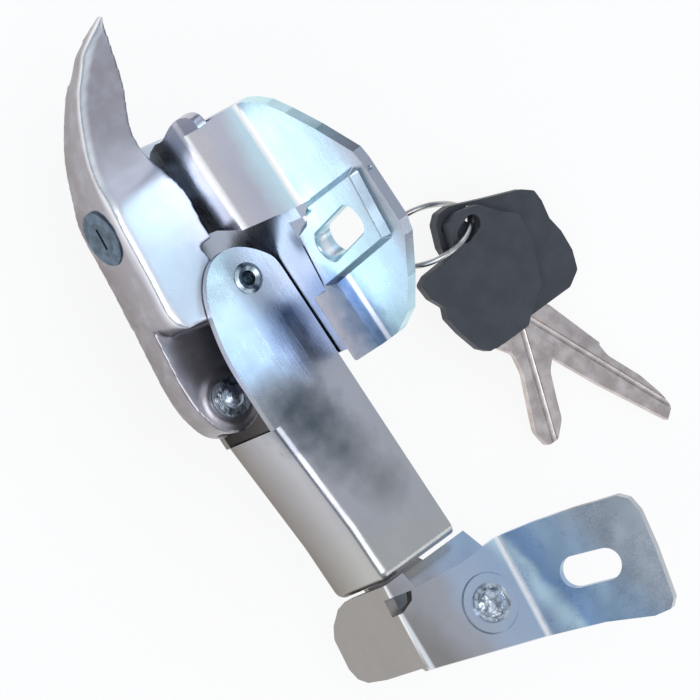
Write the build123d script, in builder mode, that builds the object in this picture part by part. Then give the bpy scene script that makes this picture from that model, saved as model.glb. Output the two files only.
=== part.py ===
"""Lockable toggle latch: base bracket, claw lever with cam lock, draw arm, keeper and keys.

X runs out of the mounting panel with -X outward, Y along the arm toward the claw tip,
Z along the hinge pins. The panel is the plane X = 0. Sizes are in millimetres.
"""
import os
from math import cos, radians, sin

from build123d import *

os.makedirs("parts", exist_ok=True)

# Base bracket, a hat section in 3 mm plate
sheet = 3.0
bend = 3.5
crown_out = 11.0
foot_half = 9.0
base_top = 43.5
base_low = -34.0
wing_end = 124.6
foot_low = -14.0
panel_hole_r = 4.5
far_bend_z = 9.6
far_crown_z = 18.6
near_crown_z = 60.2
near_bend_z = 81.2
low_bend_z = 73.6
low_edge_z = 64.8
low_rise = 3.6
pad_rise = 2.5
slot_long = 30.0
slot_wide = 9.0
slot_z = 95.5
slot_skew = 10.9

# Running and standing clearances
run = 0.05
side_gap = 0.3

# Pivots, X and Y of each axis
link_x = -13.0
link_y = 0.0
pivot_x = -29.7
pivot_y = -25.0
hook_x = -5.7
hook_y = -110.2

# Pivot bracket inside the base
floor_t = 2.0
lug_low = 28.4
lug_t = 4.0
lug_r = 6.6
pivot_r = 4.0

# Claw lever, a cast channel open toward the panel
lever_far = 25.3
lever_near = 48.0
lever_wall = 2.8
lever_web = 3.0
tongue_near = 35.5
tongue_r = 9.6
wrap_r = 7.4
wrap_end = 232.0
link_ear_r = 7.0
lock_y = 30.2
lock_z = 35.4
lock_x = -35.55
lock_tilt = 5.0
lock_rim_r = 7.9
lock_rim_t = 0.9
lock_proud = 0.2
lock_barrel_r = 6.4
lock_plug_r = 4.6
lock_length = 16.7

# Draw arm, a channel in 2.5 mm plate
arm_far = 21.0
arm_near = 51.0
arm_t = 2.5
link_r = 3.2
link_bore = 2.1
arm_web_top = -37.6
rivet_x = -15.0
rivet_r = 2.2

# Keeper
keeper_t = 3.0
keeper_front = 51.0
hook_r = 3.0
hook_plate_t = 3.0
arm_end = hook_y + 21.2
keeper_boss = 0.6
pin_seat = keeper_front + keeper_boss

# Keys
head_t = 3.4
blade_t = 2.0
key_tilt = 11.6
ring_r = 12.8
wire_r = 0.8

lever_mid = (lever_far + lever_near) / 2
lock_face = Plane(
    origin=(lock_x, lock_y, lock_z),
    x_dir=(0, 0, 1),
    z_dir=(-cos(radians(lock_tilt)), sin(radians(lock_tilt)), 0),
)
outward = Plane(origin=(-sheet, 0, 0), x_dir=(0, 0, 1), z_dir=(-1, 0, 0))


# ---------------------------------------------------------------- base bracket
# Lower part of the wing, turned up along its inner edge
with BuildPart() as low_wing:
    with BuildSketch(Plane.XZ.offset(-13.0)):
        with BuildLine():
            FilletPolyline(
                (-sheet / 2, wing_end + 2),
                (-sheet / 2, low_bend_z),
                (-sheet / 2 - low_rise * 1.4, low_edge_z - 0.4 * (low_bend_z - low_edge_z)),
                radius=bend,
            )
        trace(line_width=sheet)
    extrude(amount=13.0 - base_low)
    with BuildSketch(Plane.YZ.offset(-crown_out - 5)):
        with BuildLine():
            FilletPolyline(
                (12.5, 86.5),
                (12.5, wing_end),
                (-3.4, wing_end),
                (-7.9, wing_end - 2.2),
                (-19.0, wing_end - 14.4),
                (-27.9, wing_end - 25.8),
                (-32.0, 87.5),
                (-33.3, 76.0),
                (base_low, low_edge_z),
                (-13.4, low_edge_z),
                (-13.4, 69.3),
                (4.8, 74.1),
                (6.8, 81.5),
                (8.4, 86.5),
                radius=0.8,
                close=True,
            )
        make_face()
    extrude(amount=crown_out + 10, mode=Mode.INTERSECT)

with BuildPart() as base_bracket:
    with BuildSketch(Plane.XZ.offset(-base_top)):
        with BuildLine():
            FilletPolyline(
                (-sheet / 2, -foot_half),
                (-sheet / 2, far_bend_z),
                (-crown_out + sheet / 2, far_crown_z),
                (-crown_out + sheet / 2, near_crown_z),
                (-sheet / 2, near_bend_z),
                (-sheet / 2, wing_end + 2),
                radius=bend,
            )
        trace(line_width=sheet)
    extrude(amount=base_top - foot_low)
    # Plan outline: far foot, crown, near slope and the upper half of the wing
    with BuildSketch(Plane.YZ.offset(-crown_out - 5)):
        with BuildLine():
            FilletPolyline(
                (36.0, -foot_half),
                (36.0, 29.0),
                (38.2, 33.4),
                (42.0, 39.6),
                (base_top, 44.6),
                (base_top, 84.0),
                (42.6, 89.6),
                (40.4, wing_end - 28.4),
                (36.0, wing_end - 21.6),
                (28.8, wing_end - 12.0),
                (18.9, wing_end - 0.8),
                (15.4, wing_end),
                (5.0, wing_end),
                (5.0, 97.0),
                (11.2, 84.0),
                (11.0, 80.0),
                (12.4, 59.7),
                (15.0, 47.0),
                (15.0, 12.5),
                (foot_low, 9.0),
                (foot_low, -foot_half),
                radius=1.2,
                close=True,
            )
        make_face()
    extrude(amount=crown_out + 10, mode=Mode.INTERSECT)
    add(low_wing.part)
    # Rounded tab of the crown past the top of the near slope
    with BuildSketch(Plane.YZ.offset(-crown_out)):
        with BuildLine():
            Polyline((38.0, 58.0), (38.0, 38.0), (41.4, 39.0))
            Spline((41.4, 39.0), (43.9, 50.0), (46.9, 59.0), (47.4, 66.0), (45.9, 70.2), (43.0, 71.0))
            Polyline((43.0, 71.0), (42.4, 60.0), (38.0, 58.0))
        make_face()
    extrude(amount=sheet)
    # Raised pad around the adjusting slot
    with BuildSketch(outward) as pad:
        Polygon(
            (87.7, 11.6),
            (wing_end - 4.1, 15.5),
            (wing_end - 8.6, -7.0),
            (69.8, -13.6),
            (73.8, 4.9),
            (81.5, 6.9),
            align=None,
        )
        fillet(pad.vertices(), 1.8)
    extrude(amount=pad_rise, taper=30)
    with BuildSketch(outward):
        with Locations((slot_z, 0)):
            SlotOverall(slot_long, slot_wide, rotation=slot_skew)
    extrude(amount=sheet * 3, both=True, mode=Mode.SUBTRACT)
    pad_faces = base_bracket.faces().filter_by(lambda f: abs(f.center().X + sheet + pad_rise) < 1e-3)
    fillet(pad_faces.edges(), 0.7)
    with BuildSketch(Plane.YZ):
        Circle(panel_hole_r)
    extrude(amount=sheet * 2, both=True, mode=Mode.SUBTRACT)
    # Small punch mark in the end of the wing
    with BuildSketch(Plane.XY.offset(wing_end)):
        with Locations((-1.8, 12.8)):
            Circle(0.8)
    extrude(amount=-1.6, mode=Mode.SUBTRACT)
base_bracket.part.label = "base_bracket"
export_step(base_bracket.part, "parts/base_bracket.step")

# ---------------------------------------------------------------- pivot bracket
with BuildPart() as pivot_bracket:
    with BuildSketch(Plane.XZ.offset(-42.0)):
        Polygon((0, 10.3), (-floor_t, 12.55), (-floor_t, 75.5), (0, 80.75), align=None)
    extrude(amount=42.0 - 7.4)
    with BuildSketch(Plane.XZ.offset(-7.4)):
        Polygon(
            (0, 10.3),
            (-floor_t, 12.55),
            (-floor_t, low_bend_z - 6.2),
            (0, low_bend_z - 1.3),
            align=None,
        )
    extrude(amount=7.4 + 31.0)
    with BuildSketch(Plane.XY.offset(lug_low)):
        Polygon(
            (0, pivot_y + 22.0),
            (0, pivot_y + 10.4),
            (-floor_t, pivot_y + 10.4),
            (pivot_x + lug_r * 0.55, pivot_y - lug_r * 0.835),
            (pivot_x - lug_r * 0.455, pivot_y + lug_r * 0.89),
            (-floor_t, pivot_y + 22.0),
            align=None,
        )
        with Locations((pivot_x, pivot_y)):
            Circle(lug_r)
    extrude(amount=lug_t)
    with BuildSketch(Plane.XY.offset(lug_low)):
        with Locations((pivot_x, pivot_y)):
            Circle(pivot_r)
    extrude(amount=lug_t, mode=Mode.SUBTRACT)
pivot_bracket.part.label = "pivot_bracket"
export_step(pivot_bracket.part, "parts/pivot_bracket.step")

# ---------------------------------------------------------------- lever pivot pin
with BuildPart() as lever_pivot_pin:
    with BuildSketch(Plane.XZ.offset(-pivot_y)):
        with BuildLine():
            Polyline(
                (pivot_x, 24.0),
                (pivot_x + 5.6, 24.0),
                (pivot_x + 5.6, 25.0),
                (pivot_x + pivot_r, 25.0),
                (pivot_x + pivot_r, 36.3),
                (pivot_x + 5.6, 36.3),
                (pivot_x + 5.6, 37.3),
                (pivot_x + 3.3, 37.6),
            )
            Polyline(
                (pivot_x + 3.3, 37.6),
                (pivot_x + 3.0, 38.2),
                (pivot_x + 2.3, 38.8),
                (pivot_x + 1.2, 39.2),
                (pivot_x, 39.3),
                (pivot_x, 24.0),
            )
        make_face()
    revolve(axis=Axis((pivot_x, pivot_y, 0), (0, 0, 1)))
lever_pivot_pin.part.label = "lever_pivot_pin"
export_step(lever_pivot_pin.part, "parts/lever_pivot_pin.step")

# ---------------------------------------------------------------- claw lever
with BuildPart() as claw_hollow:
    with BuildSketch(Plane.XY.offset(lever_far)):
        with BuildLine():
            Spline(
                (-34.2, 12.0),
                (-33.5, 18.7),
                (-33.0, 24.0),
                (-32.2, 31.0),
                (-31.5, 36.1),
                (-30.2, 41.5),
                (-27.7, 48.5),
                (-23.4, 55.6),
                (-19.0, 61.0),
            )
            Polyline((-19.0, 61.0), (5.0, 62.5), (5.0, 12.0), (-34.2, 12.0))
        make_face()
    extrude(amount=lever_near - lever_far)
    with BuildSketch(Plane.YZ.offset(-60)):
        with BuildLine():
            Polyline(
                (34.0, lever_near - lever_wall),
                (11.0, lever_near - lever_wall),
                (11.0, lever_far + lever_wall),
                (34.0, lever_far + lever_wall),
            )
            Spline(
                (34.0, lever_far + lever_wall),
                (41.5, lever_mid - 6.5),
                (48.5, lever_mid - 5.0),
                (55.6, lever_mid - 4.0),
                (63.0, lever_mid - 2.5),
                tangents=((1, 0), (1, 0.2)),
            )
            Line((63.0, lever_mid - 2.5), (63.0, lever_mid + 2.5))
            Spline(
                (63.0, lever_mid + 2.5),
                (55.6, lever_mid + 4.0),
                (48.5, lever_mid + 5.0),
                (41.5, lever_mid + 6.5),
                (34.0, lever_near - lever_wall),
                tangents=((-1, 0.2), (-1, 0)),
            )
        make_face()
    extrude(amount=80, mode=Mode.INTERSECT)

with BuildPart() as lever_handle:
    # Side outline: claw, shoulder and the ear round the link pin
    with BuildSketch(Plane.XY.offset(lever_far)):
        with BuildLine():
            Spline(
                (-31.2, -2.5),
                (-34.6, -2.0),
                (-37.0, 0.2),
                (-38.0, 3.6),
                (-37.4, 10.3),
                (-36.5, 18.7),
                (-36.0, 24.0),
                (-35.4, 31.0),
                (-34.6, 36.1),
                (-33.4, 41.5),
                (-31.2, 48.5),
                (-27.7, 55.6),
                (-22.9, 62.9),
                (-18.3, 68.3),
                (-13.2, 73.0),
                (-8.4, 76.2),
                (-3.3, 78.9),
                (0.4, 80.3),
                tangents=((-1, 0), (0.94, 0.33)),
            )
            ThreePointArc((0.4, 80.3), (1.1, 79.7), (0.5, 78.9))
            Spline(
                (0.5, 78.9),
                (-3.4, 71.7),
                (-7.5, 61.6),
                (-12.4, 53.9),
                (-14.6, 49.0),
                (-15.2, 43.6),
                (-14.9, 38.2),
                (-13.5, 32.9),
                (-12.8, 28.3),
                (-13.1, 23.8),
                (-13.8, 15.6),
            )
            Polyline((-13.8, 15.6), (-14.2, 12.0), (-7.6, 4.5), (-7.0, -3.5), (-13.0, -7.0), (-31.2, -2.5))
        make_face()
        with Locations((link_x, link_y)):
            Circle(link_ear_r)
    extrude(amount=lever_near - lever_far)
    # Front outline: the width tapers to the claw tip
    with BuildSketch(Plane.YZ.offset(-60)):
        with BuildLine():
            Polyline((34.0, lever_near), (-12.0, lever_near), (-12.0, lever_far), (34.0, lever_far))
            Spline(
                (34.0, lever_far),
                (41.5, lever_mid - 9.3),
                (48.5, lever_mid - 7.8),
                (55.6, lever_mid - 6.8),
                (62.9, lever_mid - 5.3),
                (68.3, lever_mid - 4.5),
                (75.4, lever_mid - 3.2),
                (81.0, lever_mid - 1.5),
                tangents=((1, 0), (1, 0.35)),
            )
            Line((81.0, lever_mid - 1.5), (81.0, lever_mid + 1.5))
            Spline(
                (81.0, lever_mid + 1.5),
                (75.4, lever_mid + 3.2),
                (68.3, lever_mid + 4.5),
                (62.9, lever_mid + 5.3),
                (55.6, lever_mid + 6.8),
                (48.5, lever_mid + 7.8),
                (41.5, lever_mid + 9.3),
                (34.0, lever_near),
                tangents=((-1, 0.35), (-1, 0)),
            )
        make_face()
    extrude(amount=80, mode=Mode.INTERSECT)
    # Narrow tongue down to the lever pivot
    with BuildSketch(Plane.XY.offset(lever_far)):
        with BuildLine():
            Spline(
                (-38.2, 2.9),
                (-39.6, -8.0),
                (-40.5, -17.7),
                (-40.2, -22.5),
                (pivot_x - tongue_r * 0.966, pivot_y - tongue_r * 0.259),
                tangents=((-0.14, -1), (0.259, -0.966)),
            )
            Polyline(
                (pivot_x - tongue_r * 0.966, pivot_y - tongue_r * 0.259),
                (pivot_x, pivot_y),
                (pivot_x + tongue_r * 0.832, pivot_y - tongue_r * 0.555),
                (link_x + link_ear_r * 0.832, link_y - link_ear_r * 0.555),
                (link_x, link_y),
                (-20.0, 12.0),
                (-37.0, 6.0),
                (-38.2, 2.9),
            )
        make_face()
        with Locations((pivot_x, pivot_y)):
            Circle(tongue_r)
    extrude(amount=tongue_near - lever_far)
    # Raised ring round the pivot rivet
    with BuildSketch(Plane.XY.offset(tongue_near)):
        with Locations((pivot_x, pivot_y)):
            Circle(tongue_r - 1.8)
    extrude(amount=0.5, taper=30)
    # Hollow of the claw, open toward the panel
    add(claw_hollow.part, mode=Mode.SUBTRACT)
    with BuildSketch(Plane.XY.offset(tongue_near)):
        Polygon(
            (-34.2, 12.0),
            (-35.0, 3.6),
            (-33.8, 1.4),
            (-31.0, 0.4),
            (-21.5, -1.8),
            (-19.0, -10.0),
            (5.0, -10.0),
            (5.0, 12.0),
            align=None,
        )
    extrude(amount=lever_near - lever_wall - tongue_near, mode=Mode.SUBTRACT)
    # Hollow of the tongue, whose wall wraps round the pivot as far as wrap_end
    with BuildSketch(Plane.XY.offset(lever_far + lever_wall)):
        Polygon(
            (-34.2, 12.0),
            (-35.3, 3.0),
            (pivot_x - wrap_r, pivot_y + 7.0),
            (pivot_x - wrap_r, pivot_y),
            (pivot_x, pivot_y),
            (pivot_x + 20 * cos(radians(wrap_end)), pivot_y + 20 * sin(radians(wrap_end))),
            (5.0, -50.0),
            (5.0, 12.0),
            align=None,
        )
        with Locations((pivot_x, pivot_y)):
            Circle(wrap_r)
    extrude(amount=tongue_near - lever_far - 2 * lever_wall, mode=Mode.SUBTRACT)
    # Relief of the near wall above the arm's ear
    with BuildSketch(Plane.XY.offset(lever_mid)):
        Polygon((-18.2, 14.4), (5.0, 14.4), (5.0, 9.2), (-17.6, 9.2), align=None)
    extrude(amount=lever_near - lever_mid, mode=Mode.SUBTRACT)
    # Pin holes
    with BuildSketch(Plane.XY.offset(lever_far)):
        with Locations((link_x, link_y)):
            Circle(link_r + run)
        with Locations((pivot_x, pivot_y)):
            Circle(pivot_r + run)
    extrude(amount=lever_near - lever_far, mode=Mode.SUBTRACT)
    # Seat of the cam lock
    with BuildSketch(lock_face):
        Circle(lock_barrel_r)
    extrude(amount=7, both=True, mode=Mode.SUBTRACT)
    with BuildSketch(lock_face.offset(-lock_rim_t)):
        Circle(lock_rim_r)
    extrude(amount=7, mode=Mode.SUBTRACT)
lever_handle.part.label = "lever_handle"
export_step(lever_handle.part, "parts/lever_handle.step")

# ---------------------------------------------------------------- cam lock
with BuildPart() as lock_body:
    with BuildSketch(lock_face.offset(lock_proud)):
        Circle(lock_rim_r)
    extrude(amount=-lock_rim_t - lock_proud)
    with BuildSketch(lock_face):
        Circle(lock_barrel_r)
    extrude(amount=-lock_length)
    with BuildSketch(lock_face.offset(-lock_length)):
        Circle(lock_plug_r + run)
    extrude(amount=lock_length + 2, mode=Mode.SUBTRACT)
lock_body.part.label = "lock_body"
export_step(lock_body.part, "parts/lock_body.step")

with BuildPart() as lock_nut:
    with BuildSketch(lock_face.offset(-lever_web - 1.2)):
        Circle(lock_barrel_r + 0.6)
        with Locations((lock_barrel_r + 0.6, 0), (-lock_barrel_r - 0.6, 0)):
            Rectangle(0.8, 3.0, mode=Mode.SUBTRACT)
        Circle(lock_barrel_r, mode=Mode.SUBTRACT)
    extrude(amount=-3.0)
lock_nut.part.label = "lock_nut"
export_step(lock_nut.part, "parts/lock_nut.step")

with BuildPart() as lock_plug:
    with BuildSketch(lock_face.offset(lock_proud)):
        Circle(lock_plug_r)
    extrude(amount=-(lock_length + lock_proud + 0.3))
    with BuildSketch(lock_face.offset(lock_proud)):
        SlotOverall(6.4, 1.2, rotation=90)
    extrude(amount=-11, mode=Mode.SUBTRACT)
    with BuildSketch(lock_face.offset(-lock_length - 0.3)):
        Circle(1.5)
    extrude(amount=4, mode=Mode.SUBTRACT)
lock_plug.part.label = "lock_plug"
export_step(lock_plug.part, "parts/lock_plug.step")

with BuildPart() as lock_cam:
    with BuildSketch(lock_face.offset(-lock_length - 0.3)):
        Circle(4.2)
        with Locations((0, 3.2)):
            Rectangle(5.0, 7.6)
        Circle(1.5, mode=Mode.SUBTRACT)
    extrude(amount=-1.5)
lock_cam.part.label = "lock_cam"
export_step(lock_cam.part, "parts/lock_cam.step")

with BuildPart() as cam_screw:
    with BuildSketch(lock_face.offset(-lock_length - 1.8)):
        Circle(2.9)
    extrude(amount=-1.4)
    with BuildSketch(lock_face.offset(-lock_length - 1.8)):
        Circle(1.5)
    extrude(amount=5.2)
    with BuildSketch(lock_face.offset(-lock_length - 3.2)):
        Rectangle(4.4, 0.7)
        Rectangle(0.7, 4.4)
    extrude(amount=0.8, mode=Mode.SUBTRACT)
cam_screw.part.label = "cam_screw"
export_step(cam_screw.part, "parts/cam_screw.step")

# ---------------------------------------------------------------- draw arm
# Web and lower half of the arm, its bends rounded
with BuildPart() as arm_web:
    with BuildSketch(Plane.XY.offset(arm_far)):
        Polygon(
            (-2.5, arm_web_top),
            (-31.6, arm_web_top),
            (-29.1, hook_y + 38.5),
            (-28.9, arm_end),
            (-2.5, arm_end),
            align=None,
        )
    extrude(amount=arm_near - arm_far)
    ends = arm_web.faces().sort_by(Axis.Y)[0]
    fillet(ends.edges().filter_by(Axis.X), 3.0)
    fillet(arm_web.edges().filter_by(lambda e: e.center().X < -28.0 and e.center().Y < arm_web_top - 1), 2.6)

with BuildPart() as draw_arm:
    with BuildSketch(Plane.XY.offset(arm_far)):
        with BuildLine():
            Spline(
                (-31.7, -22.0),
                (-30.9, -12.1),
                (-29.3, -5.0),
                (-26.0, 3.3),
                (-22.6, 7.3),
                (-18.5, 9.6),
                (-13.6, 9.7),
                (-8.6, 7.3),
                (-3.9, 2.3),
                (-2.5, -4.0),
                tangents=((0, 1), (0, -1)),
            )
            Polyline(
                (-2.5, -4.0),
                (-2.5, arm_web_top),
                (-31.6, arm_web_top),
                (-31.7, -22.0),
            )
        make_face()
    extrude(amount=arm_near - arm_far)
    add(arm_web.part)
    with BuildSketch(Plane.XY.offset(arm_far + arm_t)):
        Polygon(
            (-40.0, 20.0),
            (-40.0, arm_web_top),
            (-29.1, arm_web_top),
            (-26.6, hook_y + 38.5),
            (-26.3, hook_y + 10),
            (5.0, hook_y + 10),
            (5.0, 20.0),
            align=None,
        )
    extrude(amount=arm_near - arm_far - 2 * arm_t, mode=Mode.SUBTRACT)
    with BuildSketch(Plane.XY.offset(arm_far)):
        with Locations((link_x, link_y)):
            Circle(link_r)
    extrude(amount=arm_near - arm_far, mode=Mode.SUBTRACT)
    with BuildSketch(Plane.XY.offset(arm_far)):
        with Locations((rivet_x, hook_y + 44.2), (rivet_x, hook_y + 30.2)):
            Circle(rivet_r)
    extrude(amount=arm_t, mode=Mode.SUBTRACT)
draw_arm.part.label = "draw_arm"
export_step(draw_arm.part, "parts/draw_arm.step")

with BuildPart() as link_pin:
    with BuildSketch(Plane.XZ.offset(-link_y)):
        Polygon(
            (link_x, arm_far - 0.9),
            (link_x + 4.3, arm_far - 0.9),
            (link_x + 4.3, arm_far),
            (link_x + link_r, arm_far),
            (link_x + link_r, arm_near),
            (link_x + 4.4, arm_near),
            (link_x + 4.2, arm_near + 0.5),
            (link_x + 3.2, arm_near + 0.9),
            (link_x + link_bore, arm_near + 0.3),
            (link_x + link_bore, arm_near - 14.0),
            (link_x, arm_near - 14.0),
            align=None,
        )
    revolve(axis=Axis((link_x, link_y, 0), (0, 0, 1)))
link_pin.part.label = "link_pin"
export_step(link_pin.part, "parts/link_pin.step")

with BuildPart() as link_spacer:
    with BuildSketch(Plane.XY.offset(tongue_near + side_gap)):
        with Locations((link_x, link_y)):
            Circle(5.2)
            Circle(link_r, mode=Mode.SUBTRACT)
    extrude(amount=lever_near - lever_wall - tongue_near - 2 * side_gap)
link_spacer.part.label = "link_spacer"
export_step(link_spacer.part, "parts/link_spacer.step")

with BuildPart() as link_washer:
    with BuildSketch(Plane.XY.offset(arm_far + arm_t)):
        with Locations((link_x, link_y)):
            Circle(5.6)
            Circle(link_r, mode=Mode.SUBTRACT)
    extrude(amount=lever_far - arm_far - arm_t - side_gap)
link_washer.part.label = "link_washer"
export_step(link_washer.part, "parts/link_washer.step")

with BuildPart() as hook_plate:
    with BuildSketch(Plane.XY.offset(arm_far + arm_t)):
        with BuildLine():
            FilletPolyline(
                (rivet_x - 7.5, hook_y + 50.2),
                (rivet_x + 7.0, hook_y + 50.2),
                (rivet_x + 7.0, hook_y + 26.2),
                (-2.5, hook_y + 17.2),
                (-2.5, hook_y + 10.2),
                (hook_x + 8.2, hook_y + 6.2),
                (hook_x + 8.2, hook_y - 8.8),
                (hook_x - 9.8, hook_y - 8.8),
                (rivet_x - 7.5, hook_y + 24.2),
                radius=2.5,
                close=True,
            )
        make_face()
        with Locations((hook_x, hook_y)):
            Circle(hook_r + run, mode=Mode.SUBTRACT)
        with Locations((hook_x + 10.0, hook_y)):
            Rectangle(20.0, 2 * (hook_r + run), mode=Mode.SUBTRACT)
        with Locations((rivet_x, hook_y + 44.2), (rivet_x, hook_y + 30.2)):
            Circle(rivet_r, mode=Mode.SUBTRACT)
    extrude(amount=hook_plate_t)
hook_plate.part.label = "hook_plate"
export_step(hook_plate.part, "parts/hook_plate.step")

with BuildPart() as hook_rivets:
    with BuildSketch(Plane.XZ.offset(-hook_y - 44.2)):
        Polygon(
            (rivet_x, arm_far - 1.3),
            (rivet_x + 1.8, arm_far - 1.1),
            (rivet_x + rivet_r + 1.4, arm_far),
            (rivet_x + rivet_r, arm_far),
            (rivet_x + rivet_r, arm_far + arm_t + hook_plate_t),
            (rivet_x + rivet_r + 1.4, arm_far + arm_t + hook_plate_t),
            (rivet_x + 1.8, arm_far + arm_t + hook_plate_t + 1.1),
            (rivet_x, arm_far + arm_t + hook_plate_t + 1.3),
            align=None,
        )
    revolve(axis=Axis((rivet_x, hook_y + 44.2, 0), (0, 0, 1)))
    add(hook_rivets.part.moved(Location((0, -14.0, 0))))
hook_rivets.part.label = "hook_rivets"
export_step(hook_rivets.part, "parts/hook_rivets.step")

# ---------------------------------------------------------------- keeper
tab_plane = Plane(origin=(-31.5, hook_y + 4.2, 0), x_dir=(0.114, 0.9935, 0), z_dir=(0.9935, -0.114, 0))
ear_plane = Plane(
    origin=(7.3, hook_y + 13.6, keeper_front),
    x_dir=(0.6508, -0.0673, 0.7564),
    z_dir=(-0.7524, 0.0772, 0.6542),
)
with BuildPart() as keeper_bracket:
    # Front plate
    with BuildSketch(Plane.XY.offset(keeper_front - keeper_t)):
        Polygon(
            (-29.6, hook_y + 20.7),
            (-23.0, hook_y + 20.7),
            (-22.2, hook_y + 15.6),
            (-7.1, hook_y + 13.5),
            (7.3, hook_y + 13.6),
            (4.2, hook_y - 16.6),
            (-31.9, hook_y - 5.0),
            (-32.4, hook_y - 3.9),
            align=None,
        )
    extrude(amount=keeper_t)
    # Outer tab
    with BuildSketch(tab_plane):
        with BuildLine():
            FilletPolyline(
                (16.6, keeper_front),
                (16.8, 26.0),
                (15.6, 20.5),
                (11.8, 13.7),
                (8.4, 10.6),
                (-0.6, 10.2),
                (-4.0, 12.2),
                (-6.0, 16.5),
                (-7.2, 27.0),
                (-8.2, keeper_front),
                radius=1.2,
                close=True,
            )
        make_face()
    extrude(amount=keeper_t)
    # Strip leaning back under the end of the arm
    with BuildSketch(Plane.YZ.offset(-22.6)):
        Polygon(
            (hook_y + 11.7, keeper_front),
            (hook_y + 13.3, keeper_front),
            (hook_y + 19.8, 46.2),
            (hook_y + 18.4, 43.8),
            (hook_y + 11.7, keeper_front - keeper_t),
            align=None,
        )
    extrude(amount=24.6)
    # Ear bent up toward the mounting side with the adjusting slot
    with BuildSketch(ear_plane):
        with BuildLine():
            FilletPolyline(
                (-1.4, 0.0),
                (10.4, -0.9),
                (22.0, -2.4),
                (36.0, -4.8),
                (38.6, -7.0),
                (39.7, -11.4),
                (38.9, -21.9),
                (36.7, -36.6),
                (34.6, -38.9),
                (29.5, -38.6),
                (16.2, -34.1),
                (-1.4, -30.2),
                radius=1.0,
                close=True,
            )
        make_face()
        with Locations((19.6, -19.2)):
            SlotOverall(18.0, 9.0, rotation=-12, mode=Mode.SUBTRACT)
    extrude(amount=-keeper_t)
    # Relief in the corner of the two folds
    with BuildSketch(Plane.XY.offset(keeper_front - 4.6)):
        Polygon(
            (-33.5, hook_y + 17.8),
            (-23.6, hook_y + 15.5),
            (-25.1, hook_y + 13.2),
            (-29.6, hook_y + 11.8),
            (-33.5, hook_y + 12.6),
            align=None,
        )
    extrude(amount=6.0, mode=Mode.SUBTRACT)
    # Embossed ring round the hook pin
    with BuildSketch(Plane.XY.offset(keeper_front)):
        with Locations((hook_x, hook_y)):
            Circle(8.6)
    extrude(amount=keeper_boss, taper=30)
    with BuildSketch(Plane.XY.offset(keeper_front - keeper_t)):
        with Locations((hook_x, hook_y)):
            Circle(hook_r)
    extrude(amount=keeper_t + keeper_boss, mode=Mode.SUBTRACT)
keeper_bracket.part.label = "keeper_bracket"
export_step(keeper_bracket.part, "parts/keeper_bracket.step")

with BuildPart() as keeper_pin:
    with BuildSketch(Plane.XZ.offset(-hook_y)):
        with BuildLine():
            Polyline(
                (hook_x, 21.2),
                (hook_x + hook_r, 21.2),
                (hook_x + hook_r, pin_seat),
                (hook_x + 5.6, pin_seat),
                (hook_x + 5.4, pin_seat + 0.9),
                (hook_x + 4.4, pin_seat + 0.9),
                (hook_x + 4.0, pin_seat + 0.5),
            )
            Polyline(
                (hook_x + 4.0, pin_seat + 0.5),
                (hook_x + 3.2, pin_seat + 1.1),
                (hook_x + 1.8, pin_seat + 1.5),
                (hook_x, pin_seat + 1.7),
                (hook_x, 21.2),
            )
        make_face()
    revolve(axis=Axis((hook_x, hook_y, 0), (0, 0, 1)))
keeper_pin.part.label = "keeper_pin"
export_step(keeper_pin.part, "parts/keeper_pin.step")

with BuildPart() as keeper_spacer:
    with BuildSketch(Plane.XY.offset(arm_far + arm_t + hook_plate_t + side_gap)):
        with Locations((hook_x, hook_y)):
            Circle(4.6)
            Circle(hook_r, mode=Mode.SUBTRACT)
    extrude(amount=keeper_front - keeper_t - (arm_far + arm_t + hook_plate_t + side_gap))
keeper_spacer.part.label = "keeper_spacer"
export_step(keeper_spacer.part, "parts/keeper_spacer.step")

with BuildPart() as keeper_washer:
    with BuildSketch(Plane.XY.offset(21.9)):
        with Locations((hook_x, hook_y)):
            Circle(5.6)
            Circle(hook_r, mode=Mode.SUBTRACT)
    extrude(amount=1.3)
keeper_washer.part.label = "keeper_washer"
export_step(keeper_washer.part, "parts/keeper_washer.step")

# ---------------------------------------------------------------- keys on their ring
key_plane = Plane(
    origin=(60.0, -105.0, -8.0),
    x_dir=(1, 0, 0),
    z_dir=(0, -sin(radians(key_tilt)), cos(radians(key_tilt))),
)
upper_key_plane = key_plane.offset(head_t + side_gap)
ring_plane = Plane(origin=(64.2, -24.3, 2.9), x_dir=(0.992, 0.129, 0), z_dir=(-0.112, 0.859, 0.497))
with BuildPart() as key_ring:
    with BuildSketch(Plane(origin=ring_plane.origin, x_dir=ring_plane.x_dir, z_dir=ring_plane.y_dir)):
        with Locations((ring_r, 0)):
            Circle(wire_r)
    revolve(axis=Axis(ring_plane.origin, ring_plane.z_dir))
key_ring.part.label = "key_ring"
export_step(key_ring.part, "parts/key_ring.step")

with BuildPart() as key_1_head:
    with BuildSketch(key_plane.offset(-head_t / 2)):
        with BuildLine():
            FilletPolyline(
                (2.8, 77.7),
                (4.6, 84.0),
                (7.0, 86.2),
                (11.0, 86.2),
                (22.2, 81.9),
                (33.0, 78.0),
                (36.4, 75.6),
                (37.0, 72.0),
                (36.6, 66.7),
                (38.0, 61.7),
                (38.3, 55.6),
                (36.9, 50.2),
                (32.4, 47.4),
                (11.0, 47.4),
                (6.0, 52.0),
                (4.0, 64.0),
                radius=1.6,
                close=True,
            )
        make_face()
        with Locations((15.7, 80.8)):
            Circle(2.5, mode=Mode.SUBTRACT)
    extrude(amount=head_t)
    with BuildSketch(key_plane.offset(head_t / 2)):
        with Locations((6.6, 81.6)):
            Circle(1.2)
    extrude(amount=-1.2, mode=Mode.SUBTRACT)
key_1_head.part.label = "key_1_head"
export_step(key_1_head.part, "parts/key_1_head.step")

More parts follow.
